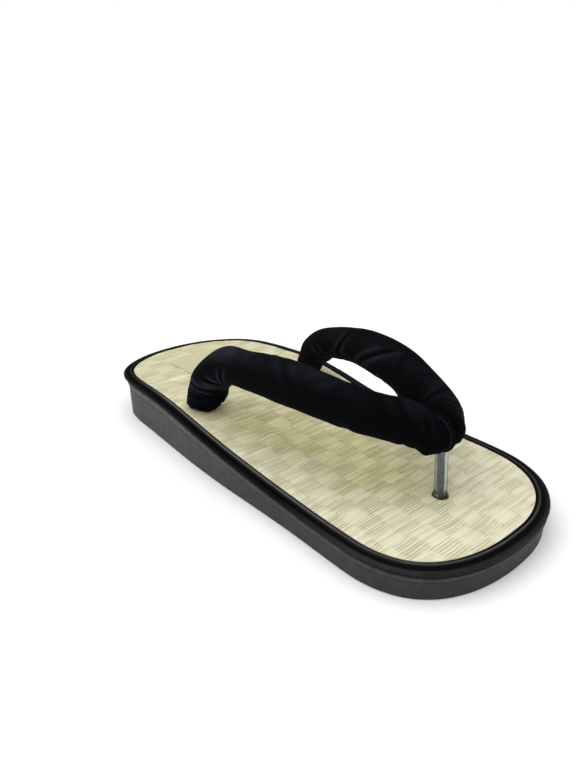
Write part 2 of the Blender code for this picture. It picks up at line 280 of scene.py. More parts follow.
def applyModifiers(piece):
    # the evaluated mesh takes the place of the plain one
    depsgraph = bpy.context.evaluated_depsgraph_get()
    finished = bpy.data.meshes.new_from_object(piece.evaluated_get(depsgraph))
    piece.modifiers.clear()
    old = piece.data
    piece.data = finished
    bpy.data.meshes.remove(old)


# Material helpers

def newMaterial(name):
    material = bpy.data.materials.new(name)
    material.use_nodes = True
    tree = material.node_tree
    return material, tree, tree.nodes["Principled BSDF"]


def addNode(tree, kind, **settings):
    node = tree.nodes.new(kind)
    for key, value in settings.items():
        setattr(node, key, value)
    return node


def feed(node, values):
    # each input, by name or number, gets another node's output or a plain value
    for key, value in values.items():
        socket = node.inputs[key]
        if isinstance(value, bpy.types.NodeSocket):
            node.id_data.links.new(value, socket)
        elif socket.type == "RGBA":
            socket.default_value = (*value, 1.0)
        else:
            socket.default_value = value


def treeOf(*values):
    # the node tree of the first output among the values
    return next(value.id_data for value in values if isinstance(value, bpy.types.NodeSocket))


def mixColours(factor, first, second, blend="MIX"):
    node = addNode(treeOf(factor, first, second), "ShaderNodeMix", data_type="RGBA",
                   blend_type=blend)
    feed(node, {0: factor, 6: first, 7: second})
    return node.outputs[2]


def combine(operation, *values, clamp=False):
    node = addNode(treeOf(*values), "ShaderNodeMath", operation=operation, use_clamp=clamp)
    feed(node, dict(enumerate(values)))
    return node.outputs[0]


def times(first, second, clamp=False):
    return combine("MULTIPLY", first, second, clamp=clamp)


def plus(first, second, clamp=False):
    return combine("ADD", first, second, clamp=clamp)


def minus(first, second, clamp=False):
    return combine("SUBTRACT", first, second, clamp=clamp)


def axesOf(vector):
    node = addNode(vector.id_data, "ShaderNodeSeparateXYZ")
    feed(node, {0: vector})
    return node.outputs


def ramp(value, stops):
    # a colour ramp from rows of place and colour
    node = addNode(value.id_data, "ShaderNodeValToRGB")
    elements = node.color_ramp.elements
    while len(elements) < len(stops):
        elements.new(0.5)
    for element, (place, colour) in zip(elements, stops):
        element.position = place
        element.color = (*colour, 1.0)
    feed(node, {0: value})
    return node.outputs[0]


def greyRamp(value, rows):
    return ramp(value, [(place, (tone,) * 3) for place, tone in rows])


def bump(height, size, normal=None):
    # size is the strength and the height in metres
    node = addNode(height.id_data, "ShaderNodeBump")
    strength, distance = size
    feed(node, {"Strength": strength, "Distance": distance, "Height": height})
    if normal is not None:
        feed(node, {"Normal": normal})
    return node.outputs["Normal"]


def noise(coordinates, scale, detail=3.0):
    node = addNode(coordinates.id_data, "ShaderNodeTexNoise")
    feed(node, {"Scale": scale, "Detail": detail, "Vector": coordinates})
    return node.outputs["Fac"]


def makeStreakGroup():
    # fibres: noise drawn out along one axis of the coordinates that come in,
    # between fine and coarse, as one value from 0 to 1
    group = bpy.data.node_groups.new("drawnOutFibres", "ShaderNodeTree")
    for name, way, kind in (("Coordinates", "INPUT", "Vector"), ("Stretch", "INPUT", "Vector"),
                            ("Coarse share", "INPUT", "Float"), ("Fibres", "OUTPUT", "Float")):
        group.interface.new_socket(name, in_out=way, socket_type="NodeSocket" + kind)
    source = group.nodes.new("NodeGroupInput").outputs
    scaled = addNode(group, "ShaderNodeVectorMath", operation="MULTIPLY")
    feed(scaled, {0: source[0], 1: source[1]})
    mixed = addNode(group, "ShaderNodeMix", data_type="FLOAT")
    feed(mixed, {0: source[2], 2: noise(scaled.outputs[0], 1.0, 2.0),
                 3: noise(scaled.outputs[0], 0.28, 1.0)})
    feed(group.nodes.new("NodeGroupOutput"), {0: mixed.outputs[0]})
    return group


streakGroup = makeStreakGroup()


def streaks(coordinates, stretch, coarse):
    node = addNode(coordinates.id_data, "ShaderNodeGroup", node_tree=streakGroup)
    feed(node, {0: coordinates, 1: stretch, 2: coarse})
    return node.outputs[0]


def objectCoordinates(tree):
    return addNode(tree, "ShaderNodeTexCoord").outputs["Object"]


def surfaceCoordinates(tree):
    return addNode(tree, "ShaderNodeUVMap", uv_map="surface").outputs["UV"]


def attribute(tree, name):
    return addNode(tree, "ShaderNodeAttribute", attribute_name=name).outputs["Fac"]


# Sole

sole = {
    "wallInset": 0.0011,
    "wallDraft": 0.012,
    "wallRows": 14,
    "seed": 3,
    "waviness": 0.00008,
    "waves": (5, 9, 14, 23),
    "bottomBevel": 0.00015,
    "lipHeight": 0.0023,
    "lipTallerBehind": 0.55,  # share of lipHeight, less towards the toe
    "heelPull": 0.0036,  # wall and lip are set in this much more at the heel's back
    "heelReach": 0.028,
    "toeShadeStart": 0.100,  # painted shade on the toe's wall: the foam gets darker from here along to the end below
    "toeShadeEnd": 0.185,
    "colour": (0.030, 0.030, 0.0305),
    "colourShare": 0.55,
    "wearAndHighlight": (0.049, 0.049, 0.0495),
    "dark": (0.018, 0.018, 0.0185),
    "cloudScale": 45,
    # painted highlight on the sole's lip: the paler colour and how much of it
    "lip": (0.066, 0.066, 0.067),
    "lipHighlightShare": 0.7,
    # painted shade: the foam is multiplied by this towards the toe
    "toeShade": (0.66, 0.66, 0.66),
    "mottleScales": (240, 900),
    "mottleTones": ((0.38, 0.70), (0.62, 1.26)),
    "mottleShare": 0.95,
    "mottleBump": (0.45, 0.0004),  # strength, and height in metres, as for every bump
    "speckleScale": 1500,
    "speckleBump": (0.3, 0.00012),
    "roughness": 0.58,
    "specular": 0.28,
}

# Lip of the sole: inset as a share of wallInset, depth under the deck as a share of
# lipHeight, how much painted highlight makes the foam pale there
lipSection = np.array((
    (1.00, 1.22, 0.0), (1.16, 1.08, 0.0), (1.00, 0.96, 0.7), (0.58, 0.86, 1.0),
    (0.34, 0.68, 0.9), (0.27, 0.48, 0.7), (0.34, 0.26, 0.5), (0.60, 0.08, 0.2),
    (1.10, 0.00, 0.0),
))


def makeFoamMaterial():
    # clouded and mottled foam, with a painted highlight on the lip and painted shade darkening it
    # towards the toe
    material, tree, shader = newMaterial("foamRubber")
    place = objectCoordinates(tree)
    base = mixColours(noise(place, sole["cloudScale"], 2), sole["dark"], sole["wearAndHighlight"])
    base = mixColours(sole["colourShare"], base, sole["colour"])
    # painted highlight: the lip's rows are paler
    base = mixColours(times(attribute(tree, "lip"), sole["lipHighlightShare"]), base, sole["lip"])
    coarse, fine = (times(noise(place, scale), 0.5) for scale in sole["mottleScales"])
    mottle = plus(coarse, fine)
    tones = greyRamp(mottle, sole["mottleTones"])
    base = mixColours(sole["mottleShare"], base, tones, "MULTIPLY")
    # painted shade: darker towards the toe
    base = mixColours(attribute(tree, "toeShade"), base, sole["toeShade"], "MULTIPLY")
    speckle = noise(place, sole["speckleScale"])
    normal = bump(speckle, sole["speckleBump"], bump(mottle, sole["mottleBump"]))
    feed(shader, {"Base Color": base, "Roughness": sole["roughness"],
                  "Specular IOR Level": sole["specular"], "Normal": normal})
    return material


def buildSole():
    # the stack of outline rings from the floor up the drafted wall to the lip, set in
    # further round the heel, with painted shade darkening the foam towards the toe
    size = sole
    along = alongOf(outline)
    pull = size["heelPull"] * np.exp(-(along / size["heelReach"]) ** 2)
    # a ramp towards the toe for the painted shade; it also makes the lip less tall there
    toeShade = np.clip((along - size["toeShadeStart"]) / (size["toeShadeEnd"] - size["toeShadeStart"]), 0, 1)
    tall = size["lipHeight"] * (1 + size["lipTallerBehind"] * (1 - toeShade))
    wave = ringNoise(size["seed"], size["waves"], size["waviness"]) + pull
    deck = sandal["matThickness"] + sandal["clearance"]
    lip = [underMat(inset * size["wallInset"] + wave, deck + depth * tall)
           for inset, depth in lipSection[:, :2]]
    lean = (size["wallInset"] + pull + size["wallDraft"] * matTop(along))[:, None]
    foot = outline + outlineInward * (lean + size["bottomBevel"])
    low = outline + outlineInward * lean
    low[:, 2] = size["bottomBevel"]
    wall = [low + (lip[0] - low) * share for share in np.linspace(0, 1, size["wallRows"])]
    rings = np.array([foot] + wall + lip[1:])
    count = len(outline)
    faces = gridFaces(len(rings), count, closeColumns=True).tolist()
    faces += [face[::-1] for face in stripFaces(0, count)]
    faces += stripFaces((len(rings) - 1) * count, count)
    # painted highlight on the lip's rows, from the lip's section
    wearAndHighlight = np.concatenate((np.zeros(size["wallRows"] + 1), lipSection[1:, 2]))
    piece = makeMesh("foamSole", rings, faces, makeFoamMaterial(),
                     values={"lip": np.repeat(wearAndHighlight, count), "toeShade": np.tile(toeShade, len(rings))})
    return settle(piece, "sole_foam", "sole")


foamSole = buildSole()
print("sole done")


# Edge binding

binding = {
    "width": 0.0060,
    "standsProud": 0.0004,
    "seed": 8,
    "waviness": 0.00012,
    "waves": (4, 7, 13, 19, 31),
    "underside": 0.97,  # rows deeper than this share of the mat have no waves
    "perSegment": 4,
    "girth": 0.018,
    "colour": (0.0032, 0.0032, 0.0035),
    # painted highlight: the grey that bead and rim take, made patchy by rub noise
    "wearAndHighlight": (0.080, 0.080, 0.083),
    "rubScale": 220,
    "rubAdded": 0.45,
    "roughness": (0.22, 0.38),  # what the rubbing adds, and the least
    "specular": (0.24, 0.03),  # what the painted highlight's mask adds, and the least
    "grainScale": 1300,
    "grainBump": (0.22, 0.00010),
}

# How much painted highlight greys the vinyl round its section, on the bead and on the
# outer rim: share of the girth, amount. The bead's painted highlight changes round the
# sandal: metres of outline from the heel, up the lateral side and back down the medial,
# amount; so does the rim's
beadShares = ((0.190, 0.0), (0.220, 0.45), (0.255, 0.9), (0.310, 0.9), (0.345, 0.25),
              (0.380, 0.0))
rimShares = ((0.400, 0.0), (0.500, 0.02), (0.620, 0.20), (0.720, 0.16), (0.790, 0.0))
rimRound = ((0.060, 0.50), (0.100, 0.0), (0.220, 0.0), (0.270, 1.0), (0.400, 0.80))
beadRound = ((0.020, 0.15), (0.080, 0.28), (0.120, 1.2), (0.220, 1.2), (0.270, 0.55),
             (0.330, 0.85), (0.380, 0.40), (0.560, 0.25))

# From the foot beside the mat over bead, slope and rim to the foot over the sole:
# inset as a share of the width, depth as a share of the mat's thickness, and height
# over the mat as a share of standsProud
bindingSection = np.array((
    (1.00, 1.00, 0.0), (1.00, 0.50, 0.0), (1.00, 0.18, 0.0), (0.95, 0.12, 0.0),
    (0.87, 0.02, 0.10), (0.795, 0.00, 0.95), (0.72, 0.00, 0.75), (0.66, 0.13, 0.0),
    (0.58, 0.33, 0.0), (0.47, 0.35, 0.0), (0.34, 0.24, 0.0), (0.21, 0.17, 0.0),
    (0.10, 0.23, 0.0), (0.03, 0.42, 0.0), (0.00, 0.64, 0.0), (0.05, 0.88, 0.0),
    (0.18, 1.00, 0.0), (0.45, 1.00, 0.0), (0.75, 1.00, 0.0),
))


def smoothLoop(points, perSegment):
    # a closed curve through the points: each segment is a cubic whose end slopes
    # are half the step between the neighbours
    points = np.asarray(points, float)
    t = (np.arange(perSegment) / perSegment)[None, :, None]
    before, after, second = (np.roll(points, turn, 0)[:, None] for turn in (1, -1, -2))
    start = points[:, None]
    curve = cubic(t, start, after, (after - before) / 2, (second - start) / 2)
    return curve.reshape(-1, points.shape[1])


def makeVinylMaterial():
    # black vinyl, with a painted highlight greying the bead and the outer rim, made patchy by rub
    # noise
    material, tree, shader = newMaterial("blackVinyl")
    surface = surfaceCoordinates(tree)
    arc, girth = axesOf(surface)[:2]
    share = combine("DIVIDE", girth, binding["girth"])
    # painted highlight mask: where round the section and where round the sandal
    wearAndHighlight = plus(times(greyRamp(share, beadShares), greyRamp(arc, beadRound)),
                times(greyRamp(share, rimShares), greyRamp(arc, rimRound)))
    rub = noise(surface, binding["rubScale"])
    amount = times(wearAndHighlight, plus(rub, binding["rubAdded"]), clamp=True)
    grain = noise(objectCoordinates(tree), binding["grainScale"])
    feed(shader, {"Base Color": mixColours(amount, binding["colour"], binding["wearAndHighlight"]),
                  "Roughness": combine("MULTIPLY_ADD", rub, *binding["roughness"]),
                  "Specular IOR Level": combine("MULTIPLY_ADD", wearAndHighlight, *binding["specular"]),
                  "Normal": bump(grain, binding["grainBump"])})
    return material


def buildBinding():
    # the smooth section is carried once round the outline
    size = binding
    wave = ringNoise(size["seed"], size["waves"], size["waviness"])
    rings = []
    for inset, depth, proud in smoothLoop(bindingSection, size["perSegment"]):
        down = depth * sandal["matThickness"] - proud * size["standsProud"]
        outer = (1 - inset) ** 2 if depth < size["underside"] else 0.0
        rings.append(underMat(inset * size["width"] + wave * outer,
                              min(down, sandal["matThickness"])))
    rings = np.array(rings)
    faces = gridFaces(len(rings), len(outline), closeRows=True, closeColumns=True)
    girth = np.arange(len(rings) + 1) * size["girth"] / len(rings)
    mapping = gridMap(girth, outlineArc)[:, ::-1]
    piece = makeMesh("vinylBinding", rings, faces[:, ::-1].tolist(), makeVinylMaterial(),
                     mapping.reshape(-1, 4, 2)[:, ::-1].reshape(-1, 2))
    return settle(piece, "vinyl_binding", "edge_binding")


vinylBinding = buildBinding()
print("binding done")


# Rush mat

mat = {
    "seed": 21,
    "inset": 0.0063,
    "rushWidth": 0.00150,
    "rowsPerRush": 4,
    "columns": 128,
    "bundleLeast": 5,
    "bundleMost": 7,
    "cellWidth": 0.0118,
    "cellsMost": 99,
    "firstCell": 40,  # keeps the numbers of the cells above 0
    "cellSharpness": 1.5,
    "cellSway": (0.05, 60, 2.1),  # in cells; waves along the sandal and by bundle
    "rushShift": 0.06,
    "bundleShift": 0.09,
    "drift": 0.00055,
    "linedRelief": 0.00028,
    "smoothRelief": 0.00010,
    "bundleRelief": 0.00024,
    "flattestRush": 0.5,
    "dashReach": 0.0013,
    "dashOnSmooth": 0.35,
    "faintestCell": 0.25,
    "toneLength": 0.019,
    "firstKnot": 20,  # keeps the numbers of the tone's knots above 0
    "toneAlongRush": 0.50,
    "toneOfCell": 0.05,
    "toneOfSmooth": 0.16,
    "toneOfRush": 0.30,
    "paleToToe": 0.30,
    "tanFrom": 0.80,
    "tanFull": 0.95,
    "shadeLines": (0.85, 0.35),  # the lines' strength, and what the painted shadow adds to it
    "shadeDashes": 0.6,
    "shadeTone": 0.14,
    "edgeRound": 0.0006,
    "edgeDrop": 0.0003,
    "sunk": 0.0002,
    "endFade": 0.004,
    # painted shade at the mat's edge: how far in it reaches
    "edgeShadeReach": 0.00055,
    "labelMargin": 0.0012,
    "labelRelief": 0.00022,
    "tones": ((0.16, (0.465, 0.440, 0.240)), (0.40, (0.530, 0.503, 0.335)),
              (0.66, (0.655, 0.626, 0.480))),  # green, straw and pale rushes
    "toneShare": 0.50,
    "toneLift": 0.18,
    "cloudShare": 0.10,
    "cloudScale": 26,
    "fibreStretch": (75, 2.3, 1),
    "fibreCoarse": 0.35,
    "contrast": 0.78,
    "contrastLined": 0.60,
    "contrastShade": 0.95,
    "tan": (0.450, 0.360, 0.160),
    "tanShare": 0.22,
    # painted shadow of the strap: a darker, warmer tint
    "paintedShade": (0.975, 0.955, 0.760),
    "gap": (0.190, 0.172, 0.078),
    "gapSharpness": 7.5,
    "faintestLine": 0.14,
    "deepGap": (0.070, 0.062, 0.026),
    "dashOnRush": 0.12,
    # painted shade: dark colour for the mat's edge and side wall, and its gains
    "wall": (0.020, 0.018, 0.010),
    "sideShadeGain": 14.0,
    "edgeShadeGain": 2.2,
    "gapBump": (0.6, 0.00018),
    "fibreBump": (0.55, 0.00025),
    "roughness": 0.52,
    "specular": 0.30,
}

# How the rushes drift: amount, waves across and lengthways, start
driftWaves = ((1.0, 92, 37, 0.0), (0.6, 231, -61, 1.3), (0.35, 480, 90, 0.0))

# Painted shadow on the mat, darker and yellower, under the near tube and between
# the tubes, with a darker stretch at the heel last: middle along and out, reach
# along and out, amount
paintedShadePatches = (
    (0.125, -0.026, 0.028, 0.018, 0.90),
    (0.165, -0.014, 0.030, 0.018, 1.00),
    (0.203, -0.004, 0.024, 0.017, 1.00),
    (0.150, 0.020, 0.050, 0.022, 0.70),
    (0.040, 0.010, 0.060, 0.050, 0.32),
)

# The label and the holes for strap and post shape the mat too, so their sizes stand here
label = {
    "start": 0.028,
    "length": 0.033,
    "width": 0.042,
    "thickness": 0.0003,
    "edge": 0.9,  # share of the thickness at the very edge
    "corner": 0.0012,
    "cornerSteps": 10,
    "levels": (1.0, 0.99, 0.93, 0.80, 0.62, 0.44, 0.26, 0.10),  # from the edge inwards
    "relief": 0.00004,
    "reliefWaves": (520, 700),
    "colour": (0.500, 0.475, 0.315),
    "shade": (0.440, 0.405, 0.245),
    "shadeShare": 0.25,
    "paperScale": 900,
    "paperBump": (0.12, 0.0001),
    "roughness": 0.42,
}

post = {
    "along": 0.2282,
    "out": -0.00082,
    "lean": 0.085,
    "sides": 64,
    "radius": 0.0030,
    "bore": 0.0019,
    "flareRadius": 0.0037,
    "flareHeight": 0.0028,
    "flareRows": 8,
    "flareSunk": 0.0008,
    "holeRadius": 0.0038,
    "intoStrap": 0.0060,
    "socketFloor": 0.0040,
    "tint": (0.74, 0.79, 0.86),
    "tubeRoughness": 0.10,
    "tubeIor": 1.50,
    "rippleScale": 260,
    "rippleBump": (0.08, 0.0003),
    "cordRadius": 0.0015,
    "cordProud": 0.00025,
    "cordAside": (-0.00011, 0.00010, 0.0),
    "cordStations": 60,
    "cordSides": 40,
    "strands": 5,
    "strandDepth": 0.00002,
    "twist": 2600,
    "cordDark": (0.130, 0.145, 0.170),
    "cordPale": (0.230, 0.250, 0.285),
    "cordStretch": (1800, 1800, 160),
    "cordCoarse": 0.4,
    "cordBump": (0.4, 0.0002),
    "cordRoughness": 0.35,
    # painted highlight down one limb of the cord, and where round it it lies
    "cordHighlight": (0.900, 0.920, 0.940),
    "highlightTurns": ((0.725, 0), (0.74, 1), (0.86, 1), (0.92, 0)),
    # painted shade line down the cord beside the highlight, and where round it it lies
    "cordShadeLine": (0.008, 0.011, 0.026),
    "shadeLineTurns": ((0.0, 0), (0.678, 0), (0.692, 1), (0.722, 1), (0.735, 0)),
}

strap = {
    "anchorAlong": 0.0958,
    "anchorOut": 0.0410,
    "rise": 0.0381,
    "radius": 0.0098,
    "endRound": 0.75,
    "tailRadius": 0.0042,
    "tailDepth": 0.0120,
    "drillOver": 0.006,
}


def rushDrift(out, along):
    # rushes aren't quite straight: sine waves across, turning slowly lengthways
    total = sum(amount * np.sin(out * across + along * lengthways + start)
                for amount, across, lengthways, start in driftWaves)
    return mat["drift"] * total / 2


def runningTone(rng, number, out, count):
    # a value from 0 to 1 that changes slowly along each rush, between random knots
    shift = rng.uniform(0, 1, count)[number]
    place = out / mat["toneLength"] + shift + mat["firstKnot"]
    knot = np.floor(place).astype(int)
    t = smoothStep(place - knot)
    values = rng.uniform(0, 1, (count, mat["cellsMost"]))
    return values[number, knot] * (1 - t) + values[number, knot + 1] * t


def paintedShadeField(out, along):
    # painted shadow: the listed patches added up, at most 1
    total = np.zeros(np.broadcast(out, along).shape)
    for alongMiddle, outMiddle, alongReach, outReach, amount in paintedShadePatches:
        total += amount * np.exp(-((along - alongMiddle) / alongReach) ** 2
                                 - ((out - outMiddle) / outReach) ** 2)
    return np.clip(total, 0, 1)


def rushPattern(rush, out, along):
    # Rushes run across in bundles of five to seven. Lengthways threads part each
    # bundle into cells that are by turns smooth and raised, or parted into single
    # rushes with gaps, as on a chessboard; dark dashes stand where a cell ends.
    size = mat
    rng = np.random.default_rng(size["seed"])
    count = int(rush.max()) + 2
    cells = (count, size["cellsMost"])
    sizes = rng.integers(size["bundleLeast"], size["bundleMost"] + 1, count)
    number = rush.astype(int)
    bundle = np.repeat(np.arange(count), sizes)[:count][number]
    sway, waves, byBundle = size["cellSway"]
    sway = sway * np.sin(along * waves + bundle * byBundle)
    sway = sway + rng.uniform(-size["rushShift"], size["rushShift"], count)[number]
    sway = sway + rng.uniform(-size["bundleShift"], size["bundleShift"], count)[bundle]
    phase = out / size["cellWidth"] + sway + size["firstCell"]
    cell = np.floor(phase).astype(int)
    wave = np.sin(np.pi * phase) * np.where(bundle % 2 == 0, 1, -1)
    lined = np.clip(0.5 - size["cellSharpness"] * wave, 0, 1)
    strength = rng.uniform(size["faintestCell"], 1.0, cells)[bundle, cell % cells[1]]
    toThread = np.abs(phase - np.round(phase)) * size["cellWidth"] / size["dashReach"]
    dash = np.exp(-toThread ** 2) * rng.uniform(-0.5, 1.0, cells)[number, cell % cells[1]]
    dash = np.clip(dash, 0, 1) * (size["dashOnSmooth"] + (1 - size["dashOnSmooth"]) * lined)
    within = rush - number
    roundness = np.sqrt(np.clip(1 - (2 * within - 1) ** 2, 0, 1))
    fat = rng.uniform(size["flattestRush"], 1.0, count)[number]
    rise = size["smoothRelief"] + (size["linedRelief"] - size["smoothRelief"]) * lined
    height = rise * roundness * fat + size["bundleRelief"] * (0.5 + 0.5 * wave)
    tone = size["toneAlongRush"] * runningTone(rng, number, out, count)
    tone = tone + size["toneOfCell"] * rng.uniform(0, 1, cells)[bundle, cell % cells[1]]
    tone = tone + size["toneOfSmooth"] * (1 - lined)
    tone = tone + size["toneOfRush"] * rng.uniform(0, 1, count)[number]
    tone = tone + size["paleToToe"] * (along / sandal["length"] - 0.5)
    tan = runningTone(rng, number, out, count) - size["tanFrom"]
    # painted shadow of the strap: stronger lines and dashes and a darker tone
    paintedShade = paintedShadeField(out, along)
    lines, added = size["shadeLines"]
    return height, {"rush": rush, "lined": lined * strength * (lines + added * paintedShade),
                    "dash": dash * (1 + size["shadeDashes"] * paintedShade),
                    "tone": tone - size["shadeTone"] * paintedShade, "paintedShade": paintedShade,
                    "tan": np.clip(tan / (size["tanFull"] - size["tanFrom"]), 0, 1)}


def makeRushMaterial():
    # green, straw and pale rushes with fibres along them, gaps between parted rushes,
    # dark dashes at the cells' ends, a painted shadow of the strap, and painted shade
    # along the mat's edge and on its side wall
    material, tree, shader = newMaterial("wovenRush")
    place = objectCoordinates(tree)
    rush, lined, tone, paintedShade = (attribute(tree, key) for key in ("rush", "lined", "tone", "paintedShade"))
    share = combine("FRACT", rush)
    crown = times(share, minus(1.0, share))
    gap = minus(1.0, times(crown, mat["gapSharpness"]), clamp=True)
    lengthways = addNode(tree, "ShaderNodeCombineXYZ")
    feed(lengthways, {0: axesOf(place)[0], 1: rush})
    fibres = streaks(lengthways.outputs[0], mat["fibreStretch"], mat["fibreCoarse"])
    contrast = plus(mat["contrast"], times(lined, mat["contrastLined"]))
    contrast = plus(contrast, times(paintedShade, mat["contrastShade"]))
    level = plus(times(tone, mat["toneShare"]), times(minus(fibres, 0.5), contrast))
    level = plus(level, times(noise(place, mat["cloudScale"]), mat["cloudShare"]))
    colour = ramp(plus(level, mat["toneLift"]), mat["tones"])
    colour = mixColours(times(attribute(tree, "tan"), mat["tanShare"]), colour, mat["tan"])
    # painted shadow of the strap: darker and yellower
    colour = mixColours(paintedShade, colour, mat["paintedShade"], "MULTIPLY")
    lines = plus(mat["faintestLine"], times(lined, 1 - mat["faintestLine"]), clamp=True)
    colour = mixColours(times(gap, lines), colour, mat["gap"])
    dash = times(attribute(tree, "dash"), plus(gap, mat["dashOnRush"]), clamp=True)
    colour = mixColours(dash, colour, mat["deepGap"])
    # painted shade: a dark line at the mat's very edge, and a dark side wall
    rim = times(minus(attribute(tree, "rim"), 0.5), mat["edgeShadeGain"])
    side = times(attribute(tree, "side"), mat["sideShadeGain"])
    colour = mixColours(combine("MAXIMUM", side, rim, clamp=True), colour, mat["wall"])
    normal = bump(times(gap, times(lines, -1.0)), mat["gapBump"])
    feed(shader, {"Base Color": colour, "Roughness": mat["roughness"],
                  "Specular IOR Level": mat["specular"],
                  "Normal": bump(fibres, mat["fibreBump"], normal)})
    return material


def matSides(stations):
    # the lateral and the medial edge of the inset outline at each station
    ring = outline + outlineInward * mat["inset"]
    half = sandal["outlineSteps"]
    edges = []
    for points in (ring[:half + 1], np.roll(ring, -half, 0)[:half + 1][::-1]):
        order = np.argsort(alongOf(points))
        edges.append(np.interp(stations, alongOf(points)[order], points[order, 0]))
    return edges


def matFaces(rows, columns):
    # the top's grid, the underside's two points a row as one strip, the two long
    # walls between them and a wall at each end
    faces = gridFaces(rows, columns)[:, ::-1].tolist()
    base, i = rows * columns, np.arange(rows - 1)
    left, right, outer = base + 2 * i, base + 2 * i + 1, i * columns + columns - 1
    for corners in ((left, right, right + 2, left + 2),
                    (i * columns, left, left + 2, (i + 1) * columns),
                    (outer, outer + columns, right + 2, right)):
        faces += np.stack(corners, -1).tolist()
    end = base + 2 * rows
    faces.append(list(range(columns)) + [base + 1, base])
    faces.append(list(range(base - columns, base))[::-1] + [end - 2, end - 1])
    return faces


def buildMat():
    # each rush is four rows of the grid, drifting with it, and columns go by share
    # of the width; the top carries the weave, and side wall and underside close it
    size = mat
    first, last = size["inset"], sandal["length"] - size["inset"]
    rushes = round((last - first) / size["rushWidth"])
    rows, columns = rushes * size["rowsPerRush"] + 1, size["columns"]
    rush = np.repeat(np.arange(rows)[:, None] / size["rowsPerRush"], columns, 1)
    share = np.linspace(0, 1, columns)[None]
    straight = first + (last - first) * rush / rushes
    low, high = matSides(straight)
    fromEnd = np.minimum(straight - first, last - straight)
    drift = rushDrift(low + (high - low) * share, straight)
    along = straight + drift * np.clip(fromEnd / size["endFade"], 0, 1)
    low, high = matSides(along)
    x = low + (high - low) * share
    out = x + shiftOut
    height, values = rushPattern(rush, out, along)
    edge = np.minimum(np.minimum(x - low, high - x), fromEnd)
    fade = np.clip(edge / size["edgeRound"], 0, 1)
    fade = fade * (2 - fade)
    # where the painted shade at the edge lies, and which points are side wall
    values["rim"] = np.exp(-(edge / size["edgeShadeReach"]) ** 2)
    values["side"] = np.zeros(height.shape)
    margin = size["labelMargin"]
    under = ((along > label["start"] - margin) & (np.abs(out) < label["width"] / 2 + margin)
             & (along < label["start"] + label["length"] + margin))
    height = np.where(under, np.minimum(height, size["labelRelief"]), height)
    z = matTop(along) - size["sunk"] + height * fade - size["edgeDrop"] * (1 - fade)
    top = np.stack((x, sandal["length"] / 2 - along, z), -1)
    ends = top[:, [0, -1]].copy()
    ends[..., 2] = matTop(along[:, [0, -1]]) - sandal["matThickness"]
    points = np.concatenate((top.reshape(-1, 3), ends.reshape(-1, 3)))
    values = {key: np.concatenate((part.ravel(), np.full(2 * rows, float(key == "side"))))
              for key, part in values.items()}
    piece = makeMesh("rushMat", points, matFaces(rows, columns), makeRushMaterial(),
                     values=values)
    drill(piece)
    return settle(piece, "rush_mat", "tatami_insole")


def postAxis(height):
    # a point of the toe post's leaning axis
    along = post["along"] - post["lean"] * (height - matTop(post["along"]))
    return spot(along, post["out"], height)


def tailFloor():
    deck = matTop(strap["anchorAlong"]) - sandal["matThickness"]
    return deck - sandal["clearance"] - strap["tailDepth"]


def anchorSpot(side, height):
    # a point of the upright line where one tube goes into the mat
    sign, out = strapSides[side][:2]
    return spot(strap["anchorAlong"], sign * strapRun[0, out] * strap["anchorOut"], height)


def drill(piece):
    # the holes for both strap tails and the post
    above = sandal["heelHeight"] + strap["drillOver"]
    gap = sandal["clearance"]
    holes = [(anchorSpot(side, tailFloor() - gap), anchorSpot(side, above),
              strap["tailRadius"] + gap) for side in strapSides]
    holes.append((postAxis(post["socketFloor"]), postAxis(above), post["holeRadius"]))
    cutRound(piece, holes)


# Strap centreline by share of its run: along, lateral and medial distance out,
# lateral and medial height over the mat, radius, all as shares of the strap's sizes
strapRun = np.array((
    (0.00, 0.000, 0.995, 0.980, 0.080, 0.080, 0.85),
    (0.07, 0.030, 0.965, 0.970, 0.305, 0.300, 0.89),
    (0.14, 0.064, 0.945, 0.950, 0.480, 0.470, 0.93),
    (0.24, 0.155, 0.905, 0.900, 0.795, 0.695, 0.92),
    (0.38, 0.315, 0.865, 0.860, 0.945, 0.880, 0.93),
    (0.54, 0.502, 0.750, 0.745, 1.010, 0.985, 1.00),
    (0.70, 0.708, 0.578, 0.578, 0.985, 0.980, 1.00),
    (0.85, 0.888, 0.315, 0.320, 0.905, 0.880, 0.96),
    (1.00, 0.978, 0.075, 0.035, 0.825, 0.820, 0.90),
))

# Each side's sign of the distance out, and its columns of distance out and height
strapSides = {"lateral": (-1, 2, 4), "medial": (1, 3, 5)}

rushMat = buildMat()
drill(foamSole)
print("mat woven and drilled")


# Strap

